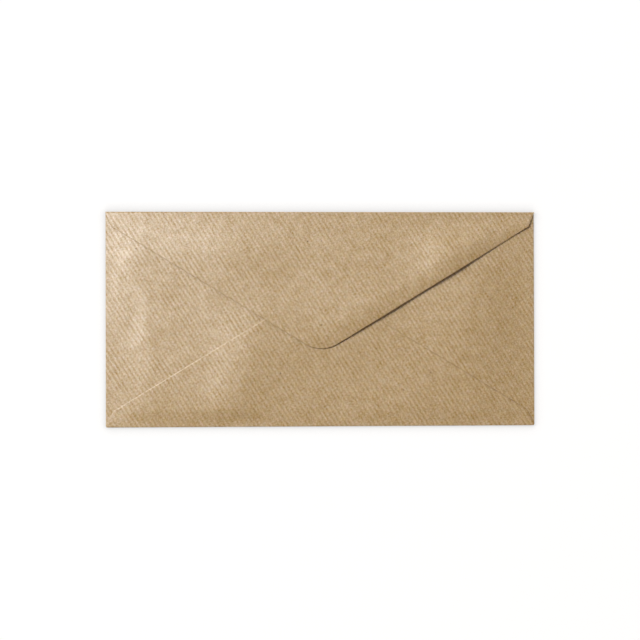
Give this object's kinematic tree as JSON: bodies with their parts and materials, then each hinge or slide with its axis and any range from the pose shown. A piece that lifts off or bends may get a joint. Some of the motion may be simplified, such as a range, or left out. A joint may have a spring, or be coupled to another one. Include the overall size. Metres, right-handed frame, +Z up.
{
  "type": "v-flap envelope",
  "caption": "Long kraft paper envelope with a deep V-shaped seal flap that swings open over a glued pocket, lying closed on its address side.",
  "frame": {"origin": "middle of the address side, on the surface that the envelope lies on", "axes": "+X along the envelope's length, +Y towards the top crease that carries the seal flap, +Z up out of the back"},
  "size_m": [0.22, 0.11, 0.0014],
  "materials": {
    "kraft_paper": null,
    "seam_adhesive": "satin",
    "seal_gum": "satin"
  },
  "bodies": {
    "pocket": {"front_panel": "kraft_paper", "left_side_flap": "kraft_paper", "right_side_flap": "kraft_paper", "bottom_flap": "kraft_paper", "left_fold": "kraft_paper", "right_fold": "kraft_paper", "bottom_fold": "kraft_paper", "seal_fold": "kraft_paper", "left_seam_glue": "seam_adhesive", "right_seam_glue": "seam_adhesive"},
    "flap": {"seal_flap": "kraft_paper", "seal_gum": "seal_gum"}
  },
  "joints": [
    {"name": "seal_flap_hinge", "type": "hinge", "parent": "pocket", "child": "flap", "pos_m": [0, 0.05428, 0.00072], "axis": [-1, 0, 0], "range_deg": [0, 178], "deforming": ["seal_fold"]}
  ]
}
